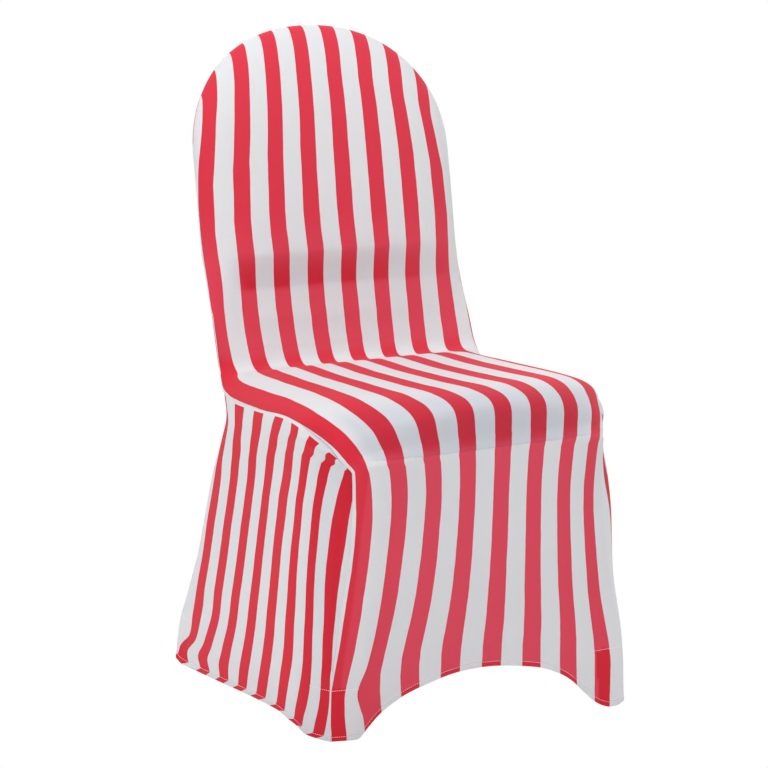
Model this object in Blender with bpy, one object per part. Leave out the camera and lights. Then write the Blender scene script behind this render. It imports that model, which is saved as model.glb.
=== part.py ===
"""Fitted chair cover of striped stretch cloth, standing as it does over a banquet chair.

Metres, +Z up. The chair faces -Y and +X is to its left-hand side. The cover is hollow
and the chair is left out. It is sewn from a front panel that runs from the crest over the
seat to the front hem, a back panel, two side panels and four foot pockets.
"""
import bmesh
import bpy
import numpy as np

# Cloth and seams
CLOTH = 0.002
SEAM_GAP = 0.0006
POCKET_CLOTH = 0.0016
POCKET_GAP = 0.0004
LONGEST_MITRE = 1.5

# Backrest
HEIGHT = 0.92
ARCH_RISE = 0.185
ARCH_HALF_THICK = 0.032
ARCH_SQUARENESS = 4.8
ARCH_ROUND = 2.15
ARCH_FOOT = 0.60
# Sections below the arch over which the back panel's rows come level
ARCH_SETTLES = 2.0
BACK_HALF_WIDTH = 0.2055

# Mesh density
ARCH_ROWS = 9
ROWS_PER_SECTION = 3
COLUMNS = 25
EVEN_SHARE = 0.5

# Where the side panels start and where they turn down the pad's front corner,
# counted in sections from the foot of the arch
SIDE_START = 11 / 3
SIDE_TURN = 26 / 3

# The plane of the backrest's rim leans: height z and depth y
RIM_LINE = (
    {"z": 0.45, "y": 0.190},
    {"z": 0.53, "y": 0.213},
    {"z": 0.60, "y": 0.227},
    {"z": 0.70, "y": 0.244},
    {"z": 0.80, "y": 0.266},
    {"z": 0.92, "y": 0.306},
)

# Sections across the front panel below the arch: the middle of the panel, its seam edges,
# the half width, how square the section is and how sharply it turns at its edges
SEAT_SECTIONS = (
    {"at": "lower back", "y": 0.191, "z": 0.526,
     "edge_y": 0.203, "edge_z": 0.540, "half": 0.205, "square": 7.5},
    {"at": "above crease", "y": 0.179, "z": 0.475,
     "edge_y": 0.181, "edge_z": 0.488, "half": 0.207, "square": 6.9},
    {"at": "crease", "y": 0.159, "z": 0.445,
     "edge_y": 0.163, "edge_z": 0.446, "half": 0.209, "square": 6.2},
    {"at": "seat rear", "y": 0.114, "z": 0.450,
     "edge_y": 0.128, "edge_z": 0.417, "half": 0.214, "square": 6.0},
    {"at": "seat middle", "y": 0.019, "z": 0.453,
     "edge_y": 0.015, "edge_z": 0.421, "half": 0.218, "square": 7.1},
    {"at": "seat front", "y": -0.098, "z": 0.458,
     "edge_y": -0.076, "edge_z": 0.430, "half": 0.220, "square": 6.1},
    {"at": "front crown", "y": -0.181, "z": 0.462,
     "edge_y": -0.138, "edge_z": 0.428, "half": 0.221, "square": 2.8},
    {"at": "front edge", "y": -0.228, "z": 0.451,
     "edge_y": -0.176, "edge_z": 0.408, "half": 0.2055, "square": 2.0},
    {"at": "pad front", "y": -0.231, "z": 0.410,
     "edge_y": -0.193, "edge_z": 0.389, "half": 0.197, "square": 3.8},
    {"at": "pad foot", "y": -0.235, "z": 0.390,
     "edge_y": -0.198, "edge_z": 0.374, "half": 0.1865, "square": 6.8},
)
SKIRT_SECTIONS = (
    {"at": "upper skirt", "y": -0.231, "edge_y": -0.208, "half": 0.193, "square": 3.6, "turn": 1.00},
    {"at": "middle skirt", "y": -0.226, "edge_y": -0.200, "half": 0.200, "square": 2.6, "turn": 0.65},
    {"at": "lower skirt", "y": -0.212, "edge_y": -0.198, "half": 0.2105, "square": 2.3, "turn": 1.00},
    {"at": "hem", "y": -0.200, "edge_y": -0.188, "half": 0.2113, "square": 2.5, "turn": 0.80},
)
SEAT_TURN = 0.5
PAD_FOOT_TURN = 0.31

# The skirt's feet stand a little turned on the floor, and the pad's front and the skirt
# are pulled a little to one side
SKIRT_TWIST = 0.0325
SIDE_PULL = (
    {"section": 7, "x": 0.0000},
    {"section": 8, "x": 0.0015},
    {"section": 9, "x": 0.0030},
    {"section": 10, "x": 0.0055},
    {"section": 11, "x": 0.0080},
    {"section": 12, "x": 0.0093},
    {"section": 13, "x": 0.0110},
    {"section": 14, "x": 0.0173},
)

# Hems are lifted between the feet. The front one is a little uneven: place across the cover
# and height
FRONT_HEM = (
    {"x": -0.194, "z": 0.0000},
    {"x": -0.170, "z": 0.0000},
    {"x": -0.156, "z": 0.0030},
    {"x": -0.146, "z": 0.0150},
    {"x": -0.130, "z": 0.0330},
    {"x": -0.105, "z": 0.0515},
    {"x": -0.064, "z": 0.0694},
    {"x": -0.014, "z": 0.0820},
    {"x": 0.035, "z": 0.0830},
    {"x": 0.072, "z": 0.0780},
    {"x": 0.108, "z": 0.0690},
    {"x": 0.144, "z": 0.0483},
    {"x": 0.163, "z": 0.0295},
    {"x": 0.182, "z": 0.0115},
    {"x": 0.196, "z": 0.0035},
    {"x": 0.206, "z": 0.0005},
    {"x": 0.218, "z": 0.0010},
    {"x": 0.2286, "z": 0.0055},
)
REAR_HEM = {"rise": 0.060, "half": 0.225, "power": 2.4, "turn": 0.85}
# The side hem: share of the way from the rear foot to the front foot, and height
SIDE_HEM = (
    {"along": 0.00, "z": 0.0000},
    {"along": 0.13, "z": 0.0035},
    {"along": 0.26, "z": 0.0075},
    {"along": 0.44, "z": 0.0126},
    {"along": 0.61, "z": 0.0167},
    {"along": 0.70, "z": 0.0180},
    {"along": 0.77, "z": 0.0166},
    {"along": 0.81, "z": 0.0125},
    {"along": 0.86, "z": 0.0080},
    {"along": 0.90, "z": 0.0018},
    {"along": 0.94, "z": 0.0000},
    {"along": 1.00, "z": 0.0000},
)
SIDE_HEM_OUT = {"bulge": 0.006, "foot_bulge": 0.012}
# Share of the side hem over which a foot's rounded lower corner comes down, and the height of
# the rear feet's corners
FOOT_ROUND = 0.04
REAR_CORNER = {"height": 0.005, "from": 0.965}

# The back panel below the arch: the middle of the panel, per section down to the side
# panel's start and then by its fall to the floor
BACK_MIDDLE = (
    {"at": "lower back", "y": 0.2530, "turn": 0.60},
    {"at": "above crease", "y": 0.2515, "turn": 0.80},
    {"at": "crease", "y": 0.2505, "turn": 0.95},
    {"at": "side start", "y": 0.2500, "turn": 1.00},
)
REAR_SEAM = (
    {"fall": 0.00, "x": 0.2130, "y": 0.140, "middle_y": 0.250},
    {"fall": 0.09, "x": 0.2135, "y": 0.131, "middle_y": 0.250},
    {"fall": 0.17, "x": 0.2140, "y": 0.146, "middle_y": 0.250},
    {"fall": 0.31, "x": 0.2155, "y": 0.179, "middle_y": 0.250},
    {"fall": 0.45, "x": 0.2190, "y": 0.199, "middle_y": 0.249},
    {"fall": 0.60, "x": 0.2250, "y": 0.216, "middle_y": 0.249},
    {"fall": 0.76, "x": 0.2340, "y": 0.238, "middle_y": 0.248},
    {"fall": 0.88, "x": 0.2440, "y": 0.249, "middle_y": 0.248},
    {"fall": 1.00, "x": 0.2550, "y": 0.240, "middle_y": 0.247},
)
BACK_SQUARENESS = 3.0

# The side panel stands proud of a straight line between its seams: the share of the way
# from the front seam to the rear seam, and the share of the bulge there
CORNER_ROUND = (
    {"along": 0.00, "share": 0.00},
    {"along": 0.04, "share": 0.50},
    {"along": 0.10, "share": 0.90},
    {"along": 0.16, "share": 1.00},
    {"along": 0.50, "share": 0.55},
    {"along": 1.00, "share": 0.00},
)
CORNER_BULGE = (
    {"fall": 0.00, "out": 0.002},
    {"fall": 0.12, "out": 0.008},
    {"fall": 0.30, "out": 0.014},
    {"fall": 0.65, "out": 0.006},
    {"fall": 1.00, "out": 0.000},
)
PAD_BULGE = (
    {"fall": 0.00, "out": 0.000},
    {"fall": 0.05, "out": 0.005},
    {"fall": 0.12, "out": 0.005},
    {"fall": 0.25, "out": 0.002},
    {"fall": 1.00, "out": 0.000},
)

# Depths above are measured from the middle of the seat; the finished cover is moved so
# that its footprint is centred
DEPTH_SHIFT = 0.0417

# Foot pockets: a second layer of cloth inside the lower corners
POCKET_TOPS = {"front_left": 0.076, "front_right": 0.086, "rear_left": 0.064, "rear_right": 0.064}
POCKET_FOOT = 0.006
POCKET_ROWS = (1.0, 0.67, 0.33, 0.0)
# How far a pocket reaches from the corner along the front or back panel, and along the side
POCKET_AHEAD = {"front_left": 0.036, "front_right": 0.045, "rear_left": 0.036, "rear_right": 0.036}
POCKET_BESIDE = 0.036
POCKET_COLUMNS = (1.0, 0.67, 0.33)
POCKET_HEM_LIFT = 0.004


def column(table, key):
    """One named column of a table as an array."""
    return np.array([row[key] for row in table])


def smooth(knots, values, at):
    """Smooth curve through the values at the knots."""
    knots = np.asarray(knots, float)
    values = np.asarray(values, float)
    slope = np.gradient(values, knots)
    i = np.clip(np.searchsorted(knots, at, side="right") - 1, 0, len(knots) - 2)
    h = knots[i + 1] - knots[i]
    s = (at - knots[i]) / h
    rise = (2 * s**3 - 3 * s**2 + 1) * values[i] + (3 * s**2 - 2 * s**3) * values[i + 1]
    return rise + (s**3 - 2 * s**2 + s) * h * slope[i] + (s**3 - s**2) * h * slope[i + 1]


def across(section=0.0):
    """Position across a panel, -1 at its left seam and 1 at its right.

    Points stand close together at the rim of the arch and wider apart below it, where the
    seams are folds.
    """
    step = np.linspace(-1, 1, COLUMNS)
    close = np.sin(np.pi * step / 2)
    even = EVEN_SHARE * np.clip(section, 0, 1)
    return (1 - even) * close + even * step


def rim(z):
    """Depth of the rim's plane at a height, and its lean."""
    depth = smooth(column(RIM_LINE, "z"), column(RIM_LINE, "y"), z)
    above = smooth(column(RIM_LINE, "z"), column(RIM_LINE, "y"), np.minimum(z + 0.002, HEIGHT))
    below = smooth(column(RIM_LINE, "z"), column(RIM_LINE, "y"), z - 0.002)
    return depth, (above - below) / (np.minimum(z + 0.002, HEIGHT) - z + 0.002)


def arch(side):
    """Rows over the backrest from the crest to the arch's foot; side -1 front, 1 rear."""
    q = across()
    springing = HEIGHT - ARCH_RISE
    crest = springing + ARCH_RISE * (1 - np.abs(q) ** ARCH_ROUND) ** (1 / ARCH_ROUND)
    share = np.sin(np.linspace(1, 0, ARCH_ROWS) * np.pi / 2)[:, None]
    z = ARCH_FOOT + (crest - ARCH_FOOT) * share
    up = np.clip((z - springing) / ARCH_RISE, 0, 1)
    radius = (np.abs(q) ** ARCH_ROUND + up**ARCH_ROUND) ** (1 / ARCH_ROUND)
    bulge = np.sqrt(1 - np.clip(radius, 0, 1) ** ARCH_SQUARENESS)
    depth, lean = rim(z)
    upright = 1 / np.sqrt(1 + lean**2)
    out = side * ARCH_HALF_THICK * bulge * upright
    return np.stack([BACK_HALF_WIDTH * q + 0 * z, depth + out, z - out * lean], -1)


def hem_lift(x, hem):
    """Height of an even hem between two feet."""
    inside = np.clip(1 - np.clip(np.abs(x) / hem["half"], 0, 1) ** hem["power"], 0, 1)
    return hem["rise"] * inside ** hem["turn"]


def hem_line(table, key, at):
    """Height of an uneven hem, from its table."""
    return np.maximum(smooth(column(table, key), column(table, "z"), at), 0)


def front_panel_points():
    """Rows of the front panel from the crest to the front hem."""
    top = arch(-1)
    last = len(SEAT_SECTIONS) + len(SKIRT_SECTIONS)
    t = np.arange(1, ROWS_PER_SECTION * last + 1) / ROWS_PER_SECTION
    q = across(t[:, None])
    pad = len(SEAT_SECTIONS)
    rows = SEAT_SECTIONS + SKIRT_SECTIONS

    def curve(key, first):
        return smooth(np.arange(last + 1), [first] + [r[key] for r in rows], t)[:, None]

    def height_curve(key, first):
        seat = [first] + [r[key] for r in SEAT_SECTIONS]
        return smooth(np.arange(pad + 1), seat, np.minimum(t, pad))[:, None]

    middle = top[-1, COLUMNS // 2]
    edge = top[-1, 0]
    y = curve("y", middle[1])
    edge_y = curve("edge_y", edge[1])
    z = height_curve("z", middle[2])
    edge_z = height_curve("edge_z", edge[2])
    half = curve("half", BACK_HALF_WIDTH)
    square = np.maximum(curve("square", ARCH_SQUARENESS), 2.0)
    turns = [SEAT_TURN] * 10 + [PAD_FOOT_TURN] + [r["turn"] for r in SKIRT_SECTIONS]
    turn = np.interp(t, np.arange(last + 1), turns)[:, None]
    drop = 1 - np.clip(1 - np.abs(q) ** square, 0, 1) ** turn
    x = half * q
    fall = np.clip((t - pad) / (last - pad), 0, 1)[:, None]
    pull = np.interp(t, column(SIDE_PULL, "section"), column(SIDE_PULL, "x"))[:, None]
    hem = hem_line(FRONT_HEM, "x", x[-1] + pull[-1])
    height = (z + (edge_z - z) * drop) * (1 - fall) + hem * fall
    depth = y + (edge_y - y) * drop - SKIRT_TWIST * q * fall
    lower = np.stack([x + pull, depth, height], -1)
    return np.concatenate([top, lower])


def row_at(section):
    """Row of the front panel at a section counted from the arch's foot."""
    return ARCH_ROWS - 1 + round(section * ROWS_PER_SECTION)


def back_panel_points(front):
    """Rows of the back panel, sharing the front panel's edges down to the side panels."""
    rows = [row for row in arch(1)]
    start = row_at(SIDE_START)
    knots = [0, 1, 2, 3, SIDE_START]
    middle = [rows[-1][COLUMNS // 2, 1]] + [r["y"] for r in BACK_MIDDLE]
    hang = rows[-1][:, 2] - rows[-1][0, 2]
    for r in range(ARCH_ROWS, start + 1):
        left, right = front[r, 0], front[r, -1]
        at = (r - ARCH_ROWS + 1) / ROWS_PER_SECTION
        square = np.interp(at, [0, SIDE_START], [ARCH_SQUARENESS, BACK_SQUARENESS])
        turn = np.interp(at, knots, [0.5] + [r["turn"] for r in BACK_MIDDLE])
        y_middle = smooth(knots, middle, at)
        row = back_row(left, right, y_middle, (square, turn), across(at))
        row[:, 2] += hang * np.clip(1 - at / ARCH_SETTLES, 0, 1) ** 2
        rows.append(row)
    q = across(SIDE_START)
    steps = len(front) - 1 - row_at(SIDE_TURN)
    falls = column(REAR_SEAM, "fall")
    z_start = front[start, 0, 2]
    for k in range(1, steps + 1):
        fall = k / steps
        x = smooth(falls, column(REAR_SEAM, "x"), fall)
        y = smooth(falls, column(REAR_SEAM, "y"), fall)
        y_middle = smooth(falls, column(REAR_SEAM, "middle_y"), fall)
        corner = np.clip((np.abs(q) - REAR_CORNER["from"]) / (1 - REAR_CORNER["from"]), 0, 1)
        lift = hem_lift(x * q, REAR_HEM) + REAR_CORNER["height"] * corner
        bend = (BACK_SQUARENESS, 1.0)
        row = back_row(np.array([-x, y, 0]), np.array([x, y, 0]), y_middle, bend, q)
        row[:, 2] = z_start * (1 - fall) + lift * fall
        rows.append(row)
    return np.array(rows)


def back_row(left, right, middle_y, bend, q):
    """One row across the back: out from the left seam, flat behind, in to the right seam."""
    square, turn = bend
    edge = left + (right - left) * ((q + 1) / 2)[:, None]
    out = np.clip(1 - np.abs(q) ** square, 0, 1) ** turn
    edge[:, 1] += (middle_y - (left[1] + right[1]) / 2) * out
    return edge


def chord_shares(points):
    """Share of the length reached at each point of a line."""
    steps = np.linalg.norm(np.diff(points, axis=0), axis=1)
    return np.concatenate([[0], np.cumsum(steps)]) / steps.sum()


def side_panel_points(front, back, edge):
    """A side panel stretched between its seams; edge 0 is the left side, -1 the right.

    Rows run from the rear seam to the front seam, columns from the top down to the hem.
    """
    start, turn = row_at(SIDE_START), row_at(SIDE_TURN)
    top = front[start:turn + 1, edge]
    fore = front[turn:, edge]
    rear = back[start:, edge]
    s = chord_shares(top)
    t = (chord_shares(fore) + chord_shares(rear)) / 2
    hem = side_hem(rear[-1], fore[-1], s, edge)
    u, v = s[:, None, None], t[None, :, None]
    flat = (1 - v) * top[:, None] + v * hem[:, None] + (1 - u) * rear[None] + u * fore[None]
    corners = (1 - u) * (1 - v) * top[0] + u * (1 - v) * top[-1]
    corners = corners + (1 - u) * v * hem[0] + u * v * hem[-1]
    flat = flat - corners
    outward = -1 if edge == 0 else 1
    corner = np.interp(t, column(CORNER_BULGE, "fall"), column(CORNER_BULGE, "out"))
    along = smooth(column(CORNER_ROUND, "along"), column(CORNER_ROUND, "share"), 1 - s)
    pad = smooth(column(PAD_BULGE, "fall"), column(PAD_BULGE, "out"), t)
    ends = np.clip(np.minimum(s, 1 - s) / 0.10, 0, 1)
    inner = np.ones_like(t)
    inner[0] = 0
    inner[-1] = 0
    out = along[:, None] * corner[None] * inner + (ends[:, None] * pad[None]) * inner
    flat[:, :, 0] += outward * out
    return flat


def side_hem(rear_foot, front_foot, s, edge):
    """The side's lower edge between two feet."""
    points = rear_foot + (front_foot - rear_foot) * s[:, None]
    points[:, 2] = hem_line(SIDE_HEM, "along", s)
    points[:, 2] += front_foot[2] * np.clip(1 - (1 - s) / FOOT_ROUND, 0, 1)
    points[:, 2] += rear_foot[2] * np.clip(1 - s / FOOT_ROUND, 0, 1)
    corner = smooth(column(CORNER_ROUND, "along"), column(CORNER_ROUND, "share"), 1 - s)
    out = SIDE_HEM_OUT["bulge"] * np.sin(np.pi * s) + SIDE_HEM_OUT["foot_bulge"] * corner
    points[:, 0] += (-1 if edge == 0 else 1) * out
    return points


def quads(shape):
    """Corner indices of a grid's faces."""
    rows, cols = shape[:2]
    return [(r * cols + c, r * cols + c + 1, (r + 1) * cols + c + 1, (r + 1) * cols + c)
            for r in range(rows - 1) for c in range(cols - 1)]


def face_normals(grid):
    """Corner indices and area-weighted normals of a grid's faces."""
    flat = grid.reshape(-1, 3)
    faces = np.array(quads(grid.shape))
    a, b, c, d = (flat[faces[:, k]] for k in range(4))
    return faces, np.cross(c - a, d - b)


def oriented(grid, centre):
    """The grid with its rows in the order that makes its faces look away from the centre."""
    faces, normals = face_normals(grid)
    middle = grid.reshape(-1, 3)[faces].mean(axis=1)
    if ((middle - centre) * normals).sum() < 0:
        return grid[::-1]
    return grid


def own_normals(grid):
    """Unit normals of one panel's points, and how much a fold there lengthens the offset."""
    faces, normals = face_normals(grid)
    total = np.zeros((grid.shape[0] * grid.shape[1], 4))
    for face, normal in zip(faces, normals):
        total[face] += np.append(normal, np.linalg.norm(normal))
    length = np.linalg.norm(total[:, :3], axis=1)
    return total[:, :3] / length[:, None], total[:, 3] / length


def mitred_normals(grids):
    """Normals at every grid point, halfway between the panels that meet there.

    They are longer than 1 on a fold or a seam, by as much as keeps the cloth's thickness.
    """
    found = [own_normals(grid) for grid in grids]
    total = {}
    for grid, (normals, folds) in zip(grids, found):
        for point, normal, fold in zip(grid.reshape(-1, 3), normals, folds):
            key = tuple(np.round(point, 6))
            total[key] = total.get(key, 0) + np.array([*normal, fold, 1])
    result = []
    for grid in grids:
        sums = np.array([total[tuple(np.round(p, 6))] for p in grid.reshape(-1, 3)])
        length = np.linalg.norm(sums[:, :3], axis=1)
        mitre = np.minimum(sums[:, 3] / length, LONGEST_MITRE)
        result.append((sums[:, :3] * (mitre / length)[:, None]).reshape(grid.shape))
    return result


def border_steps(grid):
    """Unit steps from each border point into its own sheet, square to the border."""
    step = np.zeros_like(grid)
    rows, cols = grid.shape[:2]
    for r, inner in ((0, 1), (rows - 1, rows - 2)):
        step[r] += inward(grid[r], grid[inner])
    for c, inner in ((0, 1), (cols - 1, cols - 2)):
        step[:, c] += inward(grid[:, c], grid[:, inner])
    return step


def inward(border, inner):
    """Unit steps from a border line towards the next line, square to the border."""
    tangent = np.gradient(border, axis=0)
    tangent /= np.linalg.norm(tangent, axis=1, keepdims=True)
    way = inner - border
    way = way - (way * tangent).sum(axis=1, keepdims=True) * tangent
    return way / np.maximum(np.linalg.norm(way, axis=1, keepdims=True), 1e-6)


def border_wall(ring, count, seam):
    """Triangles that close a sheet's border, split alike on both sides of a seam."""
    order = seam.reshape(-1, 3) @ np.array([0.3, 0.7, 1.0])
    wall = []
    for here, before in zip(ring, ring[-1:] + ring[:-1]):
        if order[here] > order[before]:
            wall.append((here, before, count + here))
            wall.append((before, count + before, count + here))
        else:
            wall.append((here, before, count + before))
            wall.append((here, count + before, count + here))
    return wall


def add_solid(name, outer, inner, seam, colour, home):
    """One closed sheet between an outer and an inner grid; seam is the grid before gaps."""
    count = outer.shape[0] * outer.shape[1]
    rows, cols = outer.shape[:2]
    faces = quads(outer.shape)
    bottom = [tuple(count + i for i in reversed(face)) for face in faces]
    ring = [c for c in range(cols)]
    ring += [r * cols + cols - 1 for r in range(1, rows)]
    ring += [(rows - 1) * cols + c for c in range(cols - 2, -1, -1)]
    ring += [r * cols for r in range(rows - 2, 0, -1)]
    wall = border_wall(ring, count, seam)
    mesh = bpy.data.meshes.new(name)
    points = np.concatenate([outer.reshape(-1, 3), inner.reshape(-1, 3)])
    points[:, 2] = np.maximum(points[:, 2], 0)
    mesh.from_pydata(points.tolist(), [], faces + bottom + wall)
    body = bmesh.new()
    body.from_mesh(mesh)
    bmesh.ops.triangulate(body, faces=body.faces[:])
    bmesh.ops.recalc_face_normals(body, faces=body.faces[:])
    body.to_mesh(mesh)
    body.free()
    mesh.update()
    obj = bpy.data.objects.new(name, mesh)
    home.objects.link(obj)
    obj.data.materials.append(material(name + "_cloth", colour))
    return obj


def material(name, colour):
    """Plain cloth material."""
    made = bpy.data.materials.new(name)
    made.use_nodes = True
    shader = made.node_tree.nodes["Principled BSDF"]
    shader.inputs["Base Color"].default_value = (*colour, 1)
    shader.inputs["Roughness"].default_value = 0.85
    return made


def level_line(grid, height):
    """Where a panel crosses a height: one point a column, never below its hem's edge."""
    line = []
    for c in range(grid.shape[1]):
        z = grid[:, c, 2]
        level = max(height, z[-1] + POCKET_HEM_LIFT)
        r = int(np.argmax(z < level)) - 1
        share = (z[r] - level) / (z[r] - z[r + 1])
        line.append(grid[r, c] + (grid[r + 1, c] - grid[r, c]) * share)
    return np.array(line)


def walk(line, reach):
    """Point on a line at a distance from its first point."""
    steps = np.linalg.norm(np.diff(line, axis=0), axis=1)
    length = np.concatenate([[0], np.cumsum(steps)])
    return np.array([np.interp(reach, length, line[:, k]) for k in range(3)])


def pocket_points(panel, side, corner):
    """Grid around a lower corner; both panels are given with the corner in column 0."""
    rows = []
    for share in POCKET_ROWS:
        height = POCKET_FOOT + (POCKET_TOPS[corner] - POCKET_FOOT) * share
        ahead = level_line(panel, height)
        beside = level_line(side, height)
        row = [walk(ahead, POCKET_AHEAD[corner] * reach) for reach in POCKET_COLUMNS]
        row.append(ahead[0])
        row += [walk(beside, POCKET_BESIDE * reach) for reach in reversed(POCKET_COLUMNS)]
        rows.append(row)
    return np.array(rows)


def add_pocket(corner, panel, side, colour, home):
    """One foot pocket, a second layer a hair's breadth inside the corner."""
    centre = np.array([0, 0, 0.03])
    grid = oriented(pocket_points(panel, side, corner), centre)
    normals = mitred_normals([grid])[0]
    normals[..., 2] = 0
    outer = grid - normals * (CLOTH + POCKET_GAP)
    add_solid("foot_pocket_" + corner, outer, outer - normals * POCKET_CLOTH, grid, colour, home)


def build():
    """All the sheets of the cover."""
    home = bpy.data.collections.new("chair_cover")
    bpy.context.scene.collection.children.link(home)
    front = front_panel_points()
    back = back_panel_points(front)
    left = side_panel_points(front, back, 0)
    right = side_panel_points(front, back, -1)
    centre = np.array([0, 0, 0.35])
    names = ("front_panel", "back_panel", "side_panel_left", "side_panel_right")
    colours = ((0.75, 0.30, 0.34), (0.72, 0.28, 0.32), (0.70, 0.26, 0.30), (0.70, 0.26, 0.30))
    for grid in (front, back, left, right):
        grid[..., 1] -= DEPTH_SHIFT
    grids = [oriented(grid, centre) for grid in (front, back, left, right)]
    for name, colour, grid, normals in zip(names, colours, grids, mitred_normals(grids)):
        pulled = grid + border_steps(grid) * SEAM_GAP / 2
        add_solid(name, pulled, pulled - normals * CLOTH, grid, colour, home)
    lower_front = front[row_at(len(SEAT_SECTIONS)):]
    lower_back = back[row_at(SIDE_START):]
    pockets = (
        ("front_left", lower_front, left[::-1].swapaxes(0, 1)),
        ("front_right", lower_front[:, ::-1], right[::-1].swapaxes(0, 1)),
        ("rear_left", lower_back, left.swapaxes(0, 1)),
        ("rear_right", lower_back[:, ::-1], right.swapaxes(0, 1)),
    )
    for corner, panel, side in pockets:
        add_pocket(corner, panel, side, (0.65, 0.10, 0.14), home)


def clear():
    """Empty the scene."""
    for obj in list(bpy.data.objects):
        bpy.data.objects.remove(obj, do_unlink=True)


clear()
build()
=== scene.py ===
"""Striped stretch chair cover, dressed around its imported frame.

Metres, +Z up; the cover faces -Y. The chair it stands over is left out, so it is hollow.
"""

import bpy
import numpy as np
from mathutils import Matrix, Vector


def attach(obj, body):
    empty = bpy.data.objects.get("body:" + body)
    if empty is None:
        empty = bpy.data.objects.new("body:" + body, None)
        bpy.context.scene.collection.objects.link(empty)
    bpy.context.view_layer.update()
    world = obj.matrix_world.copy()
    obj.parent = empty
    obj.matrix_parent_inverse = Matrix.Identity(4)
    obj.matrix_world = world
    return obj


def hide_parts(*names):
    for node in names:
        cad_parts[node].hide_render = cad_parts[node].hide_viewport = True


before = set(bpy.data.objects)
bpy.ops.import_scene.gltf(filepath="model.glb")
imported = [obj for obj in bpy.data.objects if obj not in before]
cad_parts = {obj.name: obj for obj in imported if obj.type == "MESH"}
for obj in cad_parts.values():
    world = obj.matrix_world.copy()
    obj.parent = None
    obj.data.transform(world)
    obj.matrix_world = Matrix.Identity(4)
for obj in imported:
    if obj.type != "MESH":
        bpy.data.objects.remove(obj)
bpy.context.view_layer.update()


# ----------
# Front panel: one length of smooth stretch knit, striped red and white, from the crest down
# the back's front, over the seat and down to the front hem. It is pulled taut over the chair,
# and its lower edge is turned up 9 mm inside and topstitched.
CLOTH = 0.0010

# The hem: its turn's radius, its depth, its stitches' distance from the edge, how far its
# upper edge stands out and its stitches draw in, the thread's lift, and how deep its red is
TURN_RADIUS = 0.0011
HEM_DEPTH = 0.009
HEM_STITCH = 0.0065
HEM_RIDGE = {"height": 0.0004, "fade": 0.0015}
STITCH_DENT = {"depth": 0.0005, "fade": 0.0012}
STITCH_LIFT = 0.0002
HEM_DEEP = 0.8

# Seams are drawn in a little, over a short width, with a fine gap between the panels
SEAM_DIP = 0.0001
SEAM_WIDTH = 0.0025
SEAM_GAP = 0.0001
STRIPE_PAIR = 0.055

# The arch of the backrest, from its crest to its foot. Behind, the level of the rows at its
# foot evens out over ARCH_SETTLES sections
HEIGHT = 0.92
ARCH_RISE = 0.185
ARCH_HALF_THICK = 0.032
ARCH_SQUARENESS = 4.8
ARCH_ROUND = 2.15
ARCH_FOOT = 0.60
ARCH_SETTLES = 2.0
BACK_HALF_WIDTH = 0.2055

# The panels are worked out about the seat's middle, then brought forward
DEPTH_SHIFT = 0.0417
shift = np.array([0, DEPTH_SHIFT, 0])

# Fineness of the grids, and the sections where the side panels start and turn down
ARCH_ROWS = 28
ROWS_PER_SECTION = 15
COLUMNS = 129
EVEN_SHARE = 0.5
SIDE_START = 11 / 3
SIDE_TURN = 26 / 3

# The plane of the backrest's rim leans: height and depth
RIM_LINE = ((0.45, 0.19), (0.53, 0.213), (0.6, 0.227), (0.7, 0.244), (0.8, 0.266), (0.92, 0.306))
RIM_STEP = 0.002

# Sections down the panel below the arch: depth and height of its middle and of its seams,
# half width, squareness, and how sharply it turns at its edges
PANEL_SECTIONS = (
    ("lower back", 0.191, 0.526, 0.203, 0.540, 0.205, 7.5, 0.5),
    ("above crease", 0.179, 0.475, 0.181, 0.488, 0.207, 6.9, 0.5),
    ("crease", 0.159, 0.445, 0.163, 0.446, 0.209, 6.2, 0.5),
    ("seat rear", 0.114, 0.450, 0.128, 0.417, 0.214, 6.0, 0.5),
    ("seat middle", 0.019, 0.453, 0.015, 0.421, 0.218, 7.1, 0.5),
    ("seat front", -0.098, 0.458, -0.076, 0.430, 0.220, 6.1, 0.5),
    ("front crown", -0.181, 0.462, -0.138, 0.428, 0.221, 2.8, 0.5),
    ("front edge", -0.228, 0.451, -0.176, 0.408, 0.2055, 2.0, 0.5),
    ("pad front", -0.231, 0.410, -0.193, 0.389, 0.197, 3.8, 0.5),
    ("pad foot", -0.235, 0.390, -0.198, 0.374, 0.1865, 6.8, 0.31),
    ("upper skirt", -0.231, None, -0.208, None, 0.193, 3.6, 1.00),
    ("middle skirt", -0.226, None, -0.200, None, 0.200, 2.6, 0.65),
    ("lower skirt", -0.212, None, -0.198, None, 0.2105, 2.3, 1.00),
    ("hem", -0.200, None, -0.188, None, 0.2113, 2.5, 0.80),
)
PAD_SECTIONS = 10

# The skirt is turned a little on its feet, and pulled to the right: section and distance
SKIRT_TWIST = 0.0325
SIDE_PULL = ((7, 0), (8, 0.0015), (9, 0.003), (10, 0.0055), (11, 0.008), (12, 0.0093),
             (13, 0.011), (14, 0.0173))

# The front hem is a little uneven: place across the cover and height
FRONT_HEM = (
    (-0.194, 0), (-0.17, 0), (-0.156, 0.003), (-0.146, 0.015), (-0.13, 0.033),
    (-0.105, 0.0515), (-0.064, 0.0694), (-0.014, 0.082), (0.035, 0.083), (0.072, 0.078),
    (0.108, 0.069), (0.144, 0.0483), (0.163, 0.0295), (0.182, 0.0115), (0.196, 0.0035),
    (0.206, 0.0005), (0.218, 0.001), (0.2286, 0.0055),
)

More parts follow.
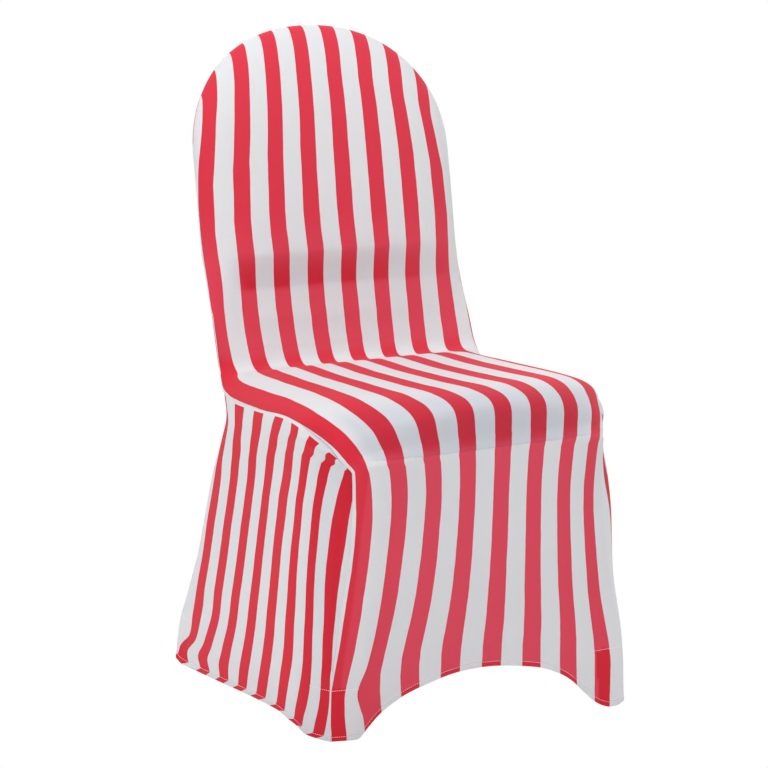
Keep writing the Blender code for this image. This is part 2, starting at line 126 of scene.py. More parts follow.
# Stripe coordinate: section, and coefficients of its powers across the panel. One unit is one
# red and one white stripe, and red lies about every half unit
FRONT_STRIPES = (
    (-1.0, -0.005, 4.343, -0.371, 0.153, 0.659),
    (-0.75, 0.166, 4.370, -0.120, -0.019, 0.461),
    (-0.45, 0.263, 4.099, -0.114, -0.057, 0.175),
    (-0.15, 0.313, 3.948, -0.039, 0.070, -0.007),
    (0.0, 0.279, 3.989, 0.081, 0.071, -0.094),
    (1.0, 0.273, 3.942, 0.082, 0.030, -0.117),
    (2.0, 0.275, 4.002, 0.040, -0.061, -0.092),
    (3.0, 0.286, 4.085, 0.006, -0.146, -0.082),
    (4.0, 0.293, 4.196, -0.034, -0.212, -0.072),
    (5.0, 0.328, 4.219, -0.042, -0.249, -0.063),
    (6.0, 0.244, 4.141, 0.006, -0.243, -0.067),
    (7.0, 0.198, 4.106, 0.047, -0.172, -0.065),
    (8.0, 0.166, 4.027, 0.038, -0.025, -0.020),
    (9.0, 0.129, 3.927, 0.008, 0.196, 0.078),
    (10.0, 0.222, 3.913, 0.037, 0.410, 0.170),
    (11.0, 0.245, 3.903, -0.003, 0.341, 0.145),
    (12.0, 0.258, 3.954, 0.029, 0.224, 0.040),
    (12.6, 0.241, 3.851, 0.093, 0.200, -0.113),
    (13.0, 0.241, 3.741, 0.177, 0.211, -0.253),
    (13.3, 0.280, 3.647, 0.224, 0.251, -0.310),
    (13.6, 0.315, 3.615, 0.143, 0.307, -0.248),
    (14.0, 0.333, 3.621, -0.022, 0.373, -0.097),
)

STRIPES_END = 4.2

# Over the left foot one stripe swells outward: section, place across, their widths, amount
FOOT_SWELL = {"section": 13.25, "across": -0.83, "long": 0.32, "wide": 0.055, "amount": 0.19}


def smooth(knots, values, at):
    """Smooth curve through the values at the knots."""
    knots = np.asarray(knots, float)
    values = np.asarray(values, float)
    slope = np.gradient(values, knots)
    i = np.clip(np.searchsorted(knots, at, side="right") - 1, 0, len(knots) - 2)
    h = knots[i + 1] - knots[i]
    s = (at - knots[i]) / h
    rise = (2 * s**3 - 3 * s**2 + 1) * values[i] + (3 * s**2 - 2 * s**3) * values[i + 1]
    return rise + (s**3 - 2 * s**2 + s) * h * slope[i] + (s**3 - s**2) * h * slope[i + 1]


def across(section=0.0):
    """Position across a panel, -1 at its left seam and 1 at its right."""
    step = np.linspace(-1, 1, COLUMNS)
    even = EVEN_SHARE * np.clip(section, 0, 1)
    return (1 - even) * np.sin(np.pi * step / 2) + even * step


def rim(z):
    """Depth of the rim's plane at a height, and its lean."""
    knots, depths = np.transpose(RIM_LINE)
    top, low = np.minimum(z + RIM_STEP, HEIGHT), z - RIM_STEP
    lean = (smooth(knots, depths, top) - smooth(knots, depths, low)) / (top - low)
    return smooth(knots, depths, z), lean


def arch(side):
    """Rows over the backrest from the crest to the arch's foot; side -1 front, 1 rear."""
    q = across()
    springing = HEIGHT - ARCH_RISE
    crest = springing + ARCH_RISE * (1 - np.abs(q) ** ARCH_ROUND) ** (1 / ARCH_ROUND)
    share = np.sin(np.linspace(1, 0, ARCH_ROWS) * np.pi / 2)[:, None]
    z = ARCH_FOOT + (crest - ARCH_FOOT) * share
    up = np.clip((z - springing) / ARCH_RISE, 0, 1)
    radius = (np.abs(q) ** ARCH_ROUND + up**ARCH_ROUND) ** (1 / ARCH_ROUND)
    bulge = np.sqrt(1 - np.clip(radius, 0, 1) ** ARCH_SQUARENESS)
    depth, lean = rim(z)
    out = side * ARCH_HALF_THICK * bulge / np.sqrt(1 + lean**2)
    return np.stack([BACK_HALF_WIDTH * q + 0 * z, depth + out, z - out * lean], -1)


def hem_line(table, at):
    """Height of an uneven hem, from its table."""
    return np.maximum(smooth(*np.transpose(table), at), 0)


def front_panel_points():
    """Rows of the front panel from the crest to the front hem."""
    top = arch(-1)
    last = len(PANEL_SECTIONS)
    t = np.arange(1, ROWS_PER_SECTION * last + 1) / ROWS_PER_SECTION
    q = across(t[:, None])
    name, y, z, edge_y, edge_z, half, square, turns = zip(*PANEL_SECTIONS)
    middle, edge = top[-1, COLUMNS // 2], top[-1, 0]

    def curve(values, first, end=last):
        return smooth(np.arange(end + 1), [first, *values[:end]], np.minimum(t, end))[:, None]

    y, edge_y = curve(y, middle[1]), curve(edge_y, edge[1])
    z, edge_z = curve(z, middle[2], PAD_SECTIONS), curve(edge_z, edge[2], PAD_SECTIONS)
    square = np.maximum(curve(square, ARCH_SQUARENESS), 2.0)
    turn = np.interp(t, np.arange(last + 1), [0.5, *turns])[:, None]
    drop = 1 - np.clip(1 - np.abs(q) ** square, 0, 1) ** turn
    x = curve(half, BACK_HALF_WIDTH) * q
    fall = np.clip((t - PAD_SECTIONS) / (last - PAD_SECTIONS), 0, 1)[:, None]
    pull = np.interp(t, *np.transpose(SIDE_PULL))[:, None]
    hem = hem_line(FRONT_HEM, x[-1] + pull[-1])
    height = (z + (edge_z - z) * drop) * (1 - fall) + hem * fall
    depth = y + (edge_y - y) * drop - SKIRT_TWIST * q * fall
    return np.concatenate([top, np.stack([x + pull, depth, height], -1)])


def row_at(section):
    """Row of the front panel at a section counted from the arch's foot."""
    return ARCH_ROWS - 1 + round(section * ROWS_PER_SECTION)


def lengths(points, axis):
    """Length along a grid's lines from their first point."""
    steps = np.linalg.norm(np.diff(points, axis=axis), axis=-1)
    zero = np.zeros_like(steps[:1] if axis == 0 else steps[:, :1])
    return np.concatenate([zero, np.cumsum(steps, axis=axis)], axis=axis)


def front_stripes(grid):
    """Stripe coordinate at every point of the front panel."""
    rows = len(grid)
    section = (np.arange(rows) - (ARCH_ROWS - 1)) / ROWS_PER_SECTION
    share = np.sin(np.linspace(1, 0, ARCH_ROWS) * np.pi / 2)
    section[:ARCH_ROWS] = -share
    flat = grid.copy()
    flat[section > PAD_SECTIONS, :, 2] = 0
    along = lengths(flat, 1)
    a = 2 * along / along[:, -1:] - 1
    a[:ARCH_ROWS] = a[ARCH_ROWS - 1]
    table = np.array(FRONT_STRIPES)
    powers = range(table.shape[1] - 1)
    stripes = sum(np.interp(section, table[:, 0], table[:, k + 1])[:, None] * a**k for k in powers)
    off = ((section[:, None] - FOOT_SWELL["section"]) / FOOT_SWELL["long"]) ** 2
    off = off + ((a - FOOT_SWELL["across"]) / FOOT_SWELL["wide"]) ** 2
    return np.clip(stripes + FOOT_SWELL["amount"] * np.exp(-off), -STRIPES_END, STRIPES_END)


def quads(rows, cols):
    """Corner indices of a grid's faces."""
    first = (np.arange(rows - 1)[:, None] * cols + np.arange(cols - 1)[None]).reshape(-1, 1)
    return first + np.array([[0, 1, cols + 1, cols]])


def grid_normals(grid):
    """Unit normals of a grid's points, facing out where rows run down and columns right."""
    rows, cols = grid.shape[:2]
    flat = grid.reshape(-1, 3)
    faces = quads(rows, cols)
    a, b, c, d = (flat[faces[:, k]] for k in range(4))
    normal = np.cross(d - b, c - a)
    total = np.zeros((rows * cols, 3))
    for k in range(4):
        np.add.at(total, faces[:, k], normal)
    length = np.linalg.norm(total, axis=1, keepdims=True)
    return (total / np.maximum(length, 1e-12)).reshape(grid.shape)


def insert_lines(values, axis, last=True):
    """Extra lines between the outermost two lines of a grid, for its seams."""
    values, shares = np.moveaxis(values, axis, 0), (0.12, 0.35, 0.66)
    head = [values[0] + (values[1] - values[0]) * s for s in shares]
    tail = [values[-1] + (values[-2] - values[-1]) * s for s in reversed(shares)] if last else []
    return np.moveaxis(np.array([values[0], *head, *values[1:-1], *tail, values[-1]]), 0, axis)


def at_reach(values, reaches, reach):
    """A grid's values at a distance up each column from its last row."""
    flat = values.reshape(*values.shape[:2], -1)[::-1]
    found = [[np.interp(reach, reaches[::-1, c], flat[:, c, k]) for k in range(flat.shape[2])]
             for c in range(flat.shape[1])]
    return np.array(found)


def turn_up(grid, stripes, normals):
    """Add the turned-up hem below a panel's last row; return grid and stripes."""
    down = grid[-1] - grid[-2]
    down /= np.linalg.norm(down, axis=1, keepdims=True)
    rows = []
    for angle in np.radians((45, 90, 135, 180)):
        inward = grid[-1] - normals[-1] * TURN_RADIUS * (1 - np.cos(angle))
        rows.append(inward + down * TURN_RADIUS * np.sin(angle))
    reaches = lengths(grid[::-1], 0)[::-1]
    for reach in (0.002, 0.004, HEM_STITCH, HEM_DEPTH - 0.001, HEM_DEPTH):
        rows.append(at_reach(grid, reaches, reach) - at_reach(normals, reaches, reach) * 2 * TURN_RADIUS)
    return np.concatenate([grid, rows]), np.concatenate([stripes, np.repeat(stripes[-1:], len(rows), 0)])


def hem_rows(values, reaches):
    """Replace the rows near a hem by rows at set distances from it."""
    near = (0.0135, 0.0115, 0.0102, 0.0094, 0.0087, 0.0079, 0.0072, HEM_STITCH + 0.0001,
            HEM_STITCH - 0.0001, 0.0058, 0.0048, 0.0030, 0.0014, 0.0)
    keep = int((reaches.min(axis=1) > 0.0150).sum())
    return np.concatenate([values[:keep], [at_reach(values, reaches, reach) for reach in near]])


def put(name, data):
    """A new object at the origin of the scene."""
    made = bpy.data.objects.new(name, data)
    bpy.context.scene.collection.objects.link(made)
    return made


def ease(x):
    """Smooth step from 0 to 1."""
    x = np.clip(x, 0, 1)
    return x * x * (3 - 2 * x)


def sheet_mesh(name, grid, normals, thickness, stripes, places):
    """A closed sheet of cloth under a grid, with its stripe map and its named places."""
    rows, cols = grid.shape[:2]
    count = rows * cols
    index = np.arange(count).reshape(rows, cols)
    ring = np.concatenate([index[0], index[1:, -1], index[-1, -2::-1], index[-2:0:-1, 0]])
    ahead = np.roll(ring, -1)
    wall = np.stack([ahead, ring, count + ring, count + ahead], 1)
    top = quads(rows, cols)
    faces = np.concatenate([top[:, ::-1], top + count, wall])
    points = np.concatenate([grid.reshape(-1, 3), (grid - normals * thickness).reshape(-1, 3)])
    points[:, 2] = np.maximum(points[:, 2], 0)
    mesh = bpy.data.meshes.new(name)
    mesh.from_pydata(points.tolist(), [], faces.tolist())
    down = lengths(grid, 0) / STRIPE_PAIR
    flat = np.stack([np.tile(stripes.reshape(-1), 2), np.tile(down.reshape(-1), 2)], 1)
    loops = np.empty(len(mesh.loops), dtype=np.int64)
    mesh.loops.foreach_get("vertex_index", loops)
    uv = mesh.uv_layers.new(name="cloth")
    uv.data.foreach_set("uv", flat[loops].astype(np.float32).reshape(-1))
    for place, share in places.items():
        extra = mesh.attributes.new(place, "FLOAT", "POINT")
        extra.data.foreach_set("value", np.tile(share.reshape(-1), 2).astype(np.float32))
    mesh.polygons.foreach_set("use_smooth", np.ones(len(mesh.polygons), dtype=bool))
    mesh.update()
    return put(name, mesh)


def node(tree, kind, sockets, **settings):
    """A node; each of its sockets is given a value or another node's output."""
    made = tree.nodes.new(kind)
    for setting, value in settings.items():
        setattr(made, setting, value)
    for socket, value in sockets.items():
        if isinstance(value, bpy.types.NodeSocket):
            tree.links.new(value, made.inputs[socket])
        else:
            made.inputs[socket].default_value = value
    return made


def maths(tree, operation, *values):
    """Output of a Math node."""
    return node(tree, "ShaderNodeMath", dict(enumerate(values)), operation=operation).outputs[0]


def cloth_map(tree):
    """The piece's own map: across in stripe pairs, and down in the same length."""
    place = node(tree, "ShaderNodeUVMap", {}, uv_map="cloth").outputs["UV"]
    return place, node(tree, "ShaderNodeSeparateXYZ", {0: place}).outputs


def effect_group(name, size, value, results):
    """An empty shader node group with one size in and some values out."""
    group = bpy.data.node_groups.new(name, "ShaderNodeTree")
    group.interface.new_socket(size, in_out="INPUT", socket_type="NodeSocketFloat").default_value = value
    for result in results:
        group.interface.new_socket(result, in_out="OUTPUT", socket_type="NodeSocketFloat")
    return group, node(group, "NodeGroupInput", {}).outputs[size]


STRIPE = {"half width": 0.235, "drift": 0.03, "drift scale": 1.6, "soft edge": 0.007}


def stripe_group():
    """Node group: 1 on red and 0 on white, by the piece's own map."""
    group, half = effect_group("stripes", "Half width", STRIPE["half width"], ["Red"])
    place, parts = cloth_map(group)
    wave = node(group, "ShaderNodeTexNoise",
                {"Scale": STRIPE["drift scale"], "Detail": 2.0, "Vector": place}).outputs["Fac"]
    drift = maths(group, "MULTIPLY_ADD", wave, STRIPE["drift"], -STRIPE["drift"] / 2)
    part = maths(group, "FRACT", maths(group, "ADD", parts["X"], drift))
    far = maths(group, "ABSOLUTE", maths(group, "SUBTRACT", part, 0.5))
    edge = {"Value": maths(group, "SUBTRACT", half, far),
            "From Min": -STRIPE["soft edge"], "From Max": STRIPE["soft edge"]}
    red = node(group, "ShaderNodeMapRange", edge, interpolation_type="SMOOTHSTEP")
    node(group, "NodeGroupOutput", {"Red": red.outputs["Result"]})
    return group


KNIT = {"ribs": 36, "courses": 1.3, "course height": 0.35, "slub": 1.2, "slub scale": (14, 1.4, 1)}


def knit_group():
    """Node group: a smooth knit's fine upright ribs, as a height and a shade."""
    group, ribs = effect_group("knit", "Ribs per stripe pair", KNIT["ribs"], ["Height", "Shade"])
    place, parts = cloth_map(group)

    def wave(socket, factor):
        turns = maths(group, "MULTIPLY", socket, ribs)
        return maths(group, "SINE", maths(group, "MULTIPLY", turns, 2 * np.pi * factor))

    wales, courses = wave(parts["X"], 1.0), wave(parts["Y"], KNIT["courses"])
    both = maths(group, "MULTIPLY_ADD", courses, KNIT["course height"], wales)
    stretch = node(group, "ShaderNodeMapping", {"Scale": KNIT["slub scale"], "Vector": place})
    slub = node(group, "ShaderNodeTexNoise", {"Scale": 1.0, "Detail": 3.0, "Vector": stretch.outputs[0]})
    rough = maths(group, "MULTIPLY_ADD", slub.outputs["Fac"], KNIT["slub"], both)
    shade = node(group, "ShaderNodeMapRange",
                 {"Value": rough, "From Min": -1.0, "From Max": 2.2, "To Min": 0.93, "To Max": 1.03})
    node(group, "NodeGroupOutput", {"Height": rough, "Shade": shade.outputs["Result"]})
    return group


def material(name, **finish):
    """A material, its tree and its shader, with plain values on the shader's sockets."""
    made = bpy.data.materials.new(name)
    made.use_nodes = True
    shader = made.node_tree.nodes["Principled BSDF"]
    for socket, value in finish.items():
        shader.inputs[socket.replace("_", " ")].default_value = value
    return made, made.node_tree, shader


def blend(tree, kind, amount, first, second):
    """Output of a colour Mix node."""
    sockets = {0: amount, 6: first, 7: second}
    return node(tree, "ShaderNodeMix", sockets, data_type="RGBA", blend_type=kind).outputs[2]


def striped_knit(name, red):
    """Striped knit: red and white yarn, deeper red where it lies double and as painted shade,
    and darkened towards a grey-blue tint by its share of painted shade."""
    made, tree, shader = material(
        name, Roughness=0.8, Sheen_Weight=0.06, Sheen_Roughness=0.5, Specular_IOR_Level=0.2)
    stripes = node(tree, "ShaderNodeGroup", {},
                   node_tree=bpy.data.node_groups.get("stripes") or stripe_group())
    knit = node(tree, "ShaderNodeGroup", {}, node_tree=bpy.data.node_groups.get("knit") or knit_group())
    deep_and_shade_share, shade_share, bare = (
        node(tree, "ShaderNodeAttribute", {}, attribute_name=place).outputs["Fac"] for place in PLACES)
    reds = blend(tree, "MIX", deep_and_shade_share, (*red, 1), (*DEEP_RED, 1))
    covered = node(tree, "ShaderNodeMapRange",
                   {"Value": bare, "From Min": 0.1, "From Max": 0.7, "To Min": 1.0, "To Max": 0.0})
    striped = maths(tree, "MULTIPLY", stripes.outputs["Red"], covered.outputs["Result"])
    dyed = blend(tree, "MIX", striped, (*WHITE, 1), reds)
    # Painted shade: the colour is multiplied towards a grey-blue tint by the painted-shade share
    painted_shade_colour = blend(tree, "MULTIPLY", shade_share, dyed, (*SHADE_TINT, 1))
    shaded = blend(tree, "MULTIPLY", 1.0, painted_shade_colour, knit.outputs["Shade"])
    tree.links.new(shaded, shader.inputs["Base Color"])
    bump = node(tree, "ShaderNodeBump",
                {"Strength": 0.35, "Distance": 0.0004, "Height": knit.outputs["Height"]})
    tree.links.new(bump.outputs[0], shader.inputs["Normal"])
    return made


# Named places on a piece: share that is deeper red, for a double layer and as painted shade,
# share of painted shade, and how far inside its bare white edge a point lies, in millimetres
PLACES = ("deep_red_and_shade", "painted_shade", "bare")
NOT_BARE = -20

SHEER_RED = (0.690, 0.066, 0.108)
DEEP_RED = (0.632, 0.012, 0.029)
WHITE = (0.685, 0.690, 0.710)
# Grey-blue tint of the painted shade
SHADE_TINT = (0.76, 0.78, 0.84)
cloth = striped_knit("striped_knit", SHEER_RED)


def pressed(grid, folds):
    """Height of soft folds on a grid; each fold is a line's two ends, a width and a height."""
    total = np.zeros(grid.shape[:2])
    for start, end, width, height in folds:
        start, end = np.array(start), np.array(end)
        line = end - start
        along = np.clip((grid - start) @ line / (line @ line), 0, 1)
        away = np.linalg.norm(grid - start - along[..., None] * line, axis=-1)
        total += height * np.exp(-((away / width) ** 2))
    return total


stitch_lines = {"hem": [], "pocket": []}


def dress(piece, name):
    """Let a cloth piece stand for a node: it rides the cover, and the node's own part is hidden."""
    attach(piece, "root")
    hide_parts(name)


def panel_piece(name, grid, stripes, folds, places, corners, pocket_reach, slip=0.0):
    """A panel as a closed sheet: seams drawn in, folds raised and the hem turned up. The
    corners are the ones at its first and its last column."""
    layers = [grid] + [layer[..., None] for layer in (stripes, folds, *(places[place] for place in PLACES))]
    both = hem_rows(np.concatenate(layers, -1), lengths(grid[::-1], 0)[::-1])
    both = insert_lines(insert_lines(both, 0, last=False), 1)
    grid, stripes, folds = both[..., :3], both[..., 3], both[..., 4]
    shares = {place: both[..., 5 + k] for k, place in enumerate(PLACES)}
    normals = grid_normals(grid)
    reach = lengths(grid[::-1], 0)[::-1]
    over = lengths(grid, 1)
    from_seam = np.minimum(np.minimum(over, over[:, -1:] - over), lengths(grid, 0))
    dip = SEAM_DIP * (1 - ease(from_seam / SEAM_WIDTH))
    ridge = HEM_RIDGE["height"] * (1 - ease((reach - HEM_DEPTH) / HEM_RIDGE["fade"]))
    dent = STITCH_DENT["depth"] * (1 - ease(np.abs(reach - HEM_STITCH) / STITCH_DENT["fade"]))
    grid = grid + normals * (folds - dip + ridge - dent)[..., None]
    inward = np.zeros_like(grid)
    inward[:, 0] = grid[:, 1] - grid[:, 0]
    inward[:, -1] = grid[:, -2] - grid[:, -1]
    size = np.linalg.norm(inward, axis=-1, keepdims=True)
    grid = grid + inward / np.maximum(size, 1e-9) * SEAM_GAP / 2
    band = reach < HEM_STITCH
    stripes = stripes + slip * band * (1 - reach / HEM_STITCH)
    deep_red_and_shade = np.maximum(shares["deep_red_and_shade"], HEM_DEEP * band)
    over = lengths(grid, 1)
    for corner, from_edge in zip(corners, (over, over[:, -1:] - over)):
        on_pocket = (grid[..., 2] < POCKET_TOPS[corner]) & (from_edge < pocket_reach[corner])
        deep_red_and_shade = np.maximum(deep_red_and_shade, on_pocket)
    shares["deep_red_and_shade"] = deep_red_and_shade
    row = int(np.argmax(band.any(axis=1)))
    stitch_lines["hem"].append((grid[row] + normals[row] * STITCH_LIFT, normals[row]))
    grid, stripes = turn_up(grid, stripes, normals)
    extra = len(grid) - len(deep_red_and_shade)
    for place, share in shares.items():
        shares[place] = np.concatenate([share, np.repeat(share[-1:], extra, 0)])
    piece = sheet_mesh(name, grid, grid_normals(grid), CLOTH, stripes, shares)
    piece.data.materials.append(cloth)
    return piece


# The cloth is double and its red deeper over each foot pocket: the pockets' height, and how
# far they reach along the front or back panel and along the side panel
POCKET_TOPS = {"front_left": 0.076, "front_right": 0.086, "rear_left": 0.064, "rear_right": 0.064}
POCKET_AHEAD = {**dict.fromkeys(POCKET_TOPS, 0.036), "front_right": 0.045}
POCKET_BESIDE = dict.fromkeys(POCKET_TOPS, 0.036)

# The cloth bridges from the backrest's lower edge to the seat: a soft fold and a band of painted
# shade by height, and their strength across
LUMBAR_FOLD = (
    (0.455, 0), (0.51, 0.0016), (0.556, -0.0034), (0.575, -0.0024), (0.6, 0.0018), (0.64, 0.0014),
    (0.7, 0),
)
LUMBAR_SHADE_BAND = ((0.548, 0), (0.556, 1), (0.575, 0.8), (0.605, 0))
LUMBAR_ACROSS = ((-0.4, 1), (0.1, 0.95), (0.5, 0.5), (0.95, 0.2))
# How much deeper red and painted shade the band adds
LUMBAR_SHADE_SHARES = {"deep_red_and_shade": 0.6, "painted_shade": 0.36}

# The pad lies close behind the cloth down to its lower edge, where the cloth leaves it; above that
#  edge the cloth is darkened with painted shade
PAD_EDGE = 0.3945
PAD_FOLD = 0.0007
PAD_SHADE = 0.75

# How deep the red is: down the back by height, over the seat, and over the skirt. The seat's red
#  deepens to the left, and the skirt's near its left seam, as painted shade
BACK_RED = ((0.5, 0.3), (0.6, 0.35), (0.66, 0.62), (0.92, 0.62))
SEAT_RED = 0.74
SKIRT_RED = {"middle": 0.12, "left": 0.25, "right": 0.12, "edge": 0.75}

front = front_panel_points()
front_map = front_stripes(front)
section = ((np.arange(len(front)) - (ARCH_ROWS - 1)) / ROWS_PER_SECTION)[:, None] + 0 * front_map
column = np.linspace(-1, 1, COLUMNS)[None] + 0 * front_map
z = front[..., 2]
across_back = ease((column + 0.74) / 0.20) * np.interp(column, *np.transpose(LUMBAR_ACROSS))
across_back = across_back * (section < 2.2)
# The band of painted shade across the backrest's lower edge
band = np.interp(z, *np.transpose(LUMBAR_SHADE_BAND)) * across_back
# Where the pad lies behind the cloth: a slight fold, and painted shade
pad = ease((section - 6.6) / 1.2) * (z > PAD_EDGE) * (section < 10.2)
pad = pad * ease((column + 0.90) / 0.16) * ease((1.02 - column) / 0.50)
front_folds = np.interp(z, *np.transpose(LUMBAR_FOLD)) * across_back + PAD_FOLD * pad
skirt = ease((section - 9.0) / 0.8)
seat = ease((section - 2.2) / 0.6)
back_red = np.interp(z, *np.transpose(BACK_RED)) - 0.08 * column
# Painted shade: the seat's red deepens towards its left
seat_red = SEAT_RED - 0.12 * column
# Painted shade: the skirt's red deepens towards its left seam, in the corner's hollow
skirt_red = SKIRT_RED["middle"] + SKIRT_RED["left"] * ease((-0.40 - column) / 0.5)
skirt_red = skirt_red + SKIRT_RED["right"] * ease((column - 0.3) / 0.5)
skirt_red = np.maximum(skirt_red, SKIRT_RED["edge"] * ease((-0.86 - column) / 0.05))
upper_red = back_red + (seat_red - back_red) * seat
front_places = {
    "deep_red_and_shade": np.clip(upper_red * (1 - skirt) + skirt_red * skirt + LUMBAR_SHADE_SHARES["deep_red_and_shade"] * band, 0, 1),
    "painted_shade": np.clip(LUMBAR_SHADE_SHARES["painted_shade"] * band + PAD_SHADE * pad, 0, 1),
    "bare": 0 * front_map + NOT_BARE,
}
front_cloth = panel_piece("front_cloth", front - shift, front_map, front_folds, front_places,
                          ("front_left", "front_right"), POCKET_AHEAD)
dress(front_cloth, "front_panel")


# ----------
# Back panel: the same knit in one piece from the crest to the rear hem, sewn to the front
# panel round the arch and to the side panels below. Its hem is turned up like the front's.

# The rear hem's arch, and how its ends lift to meet the side panels' corners
REAR_HEM = {"rise": 0.060, "half": 0.225, "power": 2.4, "turn": 0.85}
REAR_CORNER = {"height": 0.005, "from": 0.965}

# Depth of the panel's middle and how roundly it turns at its edges, at the first sections
BACK_MIDDLE = ((0.253, 0.6), (0.2515, 0.8), (0.2505, 0.95), (0.25, 1))

# The rear seams: share of the fall to the floor, place across, depth, and the middle's depth
REAR_SEAM = (
    (0, 0.213, 0.14, 0.25), (0.09, 0.2135, 0.131, 0.25), (0.17, 0.214, 0.146, 0.25),
    (0.31, 0.2155, 0.179, 0.25), (0.45, 0.219, 0.199, 0.249), (0.6, 0.225, 0.216, 0.249),
    (0.76, 0.234, 0.238, 0.248), (0.88, 0.244, 0.249, 0.248), (1, 0.255, 0.24, 0.247),
)
BACK_SQUARENESS = 3.0
BACK_STRIPES = {"middle": 0.30, "across": 4.10, "evened over": 14}
BACK_DEEP = 0.42


def rear_hem(x):
    """Height of the rear hem between its feet."""
    inside = 1 - np.clip(np.abs(x) / REAR_HEM["half"], 0, 1) ** REAR_HEM["power"]
    return REAR_HEM["rise"] * inside ** REAR_HEM["turn"]


def back_row(left, right, middle_y, bend, q):
    """One row across the back: out from the left seam, flat behind, in to the right seam."""
    square, turn = bend
    edge = left + (right - left) * ((q + 1) / 2)[:, None]
    out = np.clip(1 - np.abs(q) ** square, 0, 1) ** turn
    edge[:, 1] += (middle_y - (left[1] + right[1]) / 2) * out
    return edge


def back_panel_points(front):
    """Rows of the back panel, sharing the front panel's edges down to the side panels."""
    rows = list(arch(1))
    start = row_at(SIDE_START)
    knots = [0, 1, 2, 3, SIDE_START]
    middle = [rows[-1][COLUMNS // 2, 1]] + [y for y, turn in BACK_MIDDLE]
    turns = [0.5] + [turn for y, turn in BACK_MIDDLE]
    hang = rows[-1][:, 2] - rows[-1][0, 2]
    for r in range(ARCH_ROWS, start + 1):
        at = (r - ARCH_ROWS + 1) / ROWS_PER_SECTION
        square = np.interp(at, [0, SIDE_START], [ARCH_SQUARENESS, BACK_SQUARENESS])
        bend = (square, np.interp(at, knots, turns))
        row = back_row(front[r, 0], front[r, -1], smooth(knots, middle, at), bend, across(at))
        row[:, 2] += hang * np.clip(1 - at / ARCH_SETTLES, 0, 1) ** 2
        rows.append(row)
    q = across(SIDE_START)
    steps = len(front) - 1 - row_at(SIDE_TURN)
    falls, seam_x, seam_y, middle_y = np.transpose(REAR_SEAM)
    for k in range(1, steps + 1):
        fall = k / steps
        x, y, behind = (smooth(falls, line, fall) for line in (seam_x, seam_y, middle_y))
        row = back_row(np.array([-x, y, 0]), np.array([x, y, 0]), behind, (BACK_SQUARENESS, 1.0), q)
        corner = np.clip((np.abs(q) - REAR_CORNER["from"]) / (1 - REAR_CORNER["from"]), 0, 1)
        hem = rear_hem(x * q) + REAR_CORNER["height"] * corner
        row[:, 2] = front[start, 0, 2] * (1 - fall) + hem * fall
        rows.append(row)
    return np.array(rows)


def soften(grid, first, last, passes):
    """Round off the crease between some rows; the seams at both ends stay in place."""
    free = ease((1 - np.abs(across(SIDE_START))) / 0.15)
    for _ in range(passes):
        y, z = grid[..., 1], grid[..., 2]
        part = (z[first:last] - z[first - 1:last - 1]) / (z[first + 1:last + 1] - z[first - 1:last - 1])
        between = y[first - 1:last - 1] + (y[first + 1:last + 1] - y[first - 1:last - 1]) * part
        grid[first:last, :, 1] += 0.5 * (between - y[first:last]) * free


def running_mean(rows, reach):
    """Average of each row with its neighbours on both sides."""
    padded = np.concatenate([rows[:1]] * reach + [rows] + [rows[-1:]] * reach)
    return sum(padded[k:k + len(rows)] for k in range(2 * reach + 1)) / (2 * reach + 1)


def back_stripes(back):
    """Stripe coordinate over the back panel, evened out from row to row."""
    along = lengths(back * np.array([1, 1, 0]), 1)
    share = 2 * along / along[:, -1:] - 1
    share[:ARCH_ROWS] = share[ARCH_ROWS - 1]
    first, last = back[:, :1, 0], back[:, -1:, 0]
    place = 2 * (back[..., 0] - first) / (last - first) - 1
    steps = np.linspace(-1, 1, COLUMNS)
    even = np.array([np.interp(steps, at, value) for at, value in zip(place, share)])
    for _ in range(2):
        even = running_mean(even, BACK_STRIPES["evened over"])
    share = np.array([np.interp(at, steps, value) for at, value in zip(place, even)])
    return BACK_STRIPES["middle"] + BACK_STRIPES["across"] * share


back = back_panel_points(front)
soften(back, ARCH_ROWS - 4, ARCH_ROWS + 12, 40)
from_behind = back[:, ::-1] - shift
plain = np.zeros(back.shape[:2])
back_places = {"deep_red_and_shade": plain + BACK_DEEP, "painted_shade": plain, "bare": plain + NOT_BARE}
back_map = back_stripes(back)[:, ::-1]
back_cloth = panel_piece("back_cloth", from_behind, back_map, plain, back_places,
                         ("rear_right", "rear_left"), POCKET_AHEAD)
dress(back_cloth, "back_panel")


# ----------
# Side panels: the same knit, one piece on each side below the seat's edge, sewn along the
# seat and down both legs, with a turned-up hem. A white edge shows above their stripes.

# The side hem: share of the way from the rear foot to the front foot, and height
SIDE_HEM = (
    (0, 0), (0.13, 0.0035), (0.26, 0.0075), (0.44, 0.0126), (0.61, 0.0167), (0.7, 0.018),
    (0.77, 0.0166), (0.81, 0.0125), (0.86, 0.008), (0.9, 0.0018), (0.94, 0), (1, 0),
)
SIDE_HEM_OUT = {"bulge": 0.006, "foot_bulge": 0.012}

# The hem comes up to the front and back panels' corners over this share of its ends
FOOT_ROUND = 0.04

# How the panel rounds the front leg, by the way back from it, and how far it stands out there
# and below the pad, by the fall
CORNER_ROUND = ((0, 0), (0.04, 0.5), (0.1, 0.9), (0.16, 1), (0.5, 0.55), (1, 0))
CORNER_BULGE = ((0, 0.002), (0.12, 0.008), (0.3, 0.014), (0.65, 0.006), (1, 0))
PAD_BULGE = ((0, 0), (0.05, 0.005), (0.12, 0.005), (0.25, 0.002), (1, 0))
PAD_ENDS = 0.10
SIDE_PAIR = 0.0565
RIGHT_STRIPES_END = 8.75

# Below its stitches the hem lies askew, so its stripes slip by this share of a pair
HEM_SLIP = 0.28

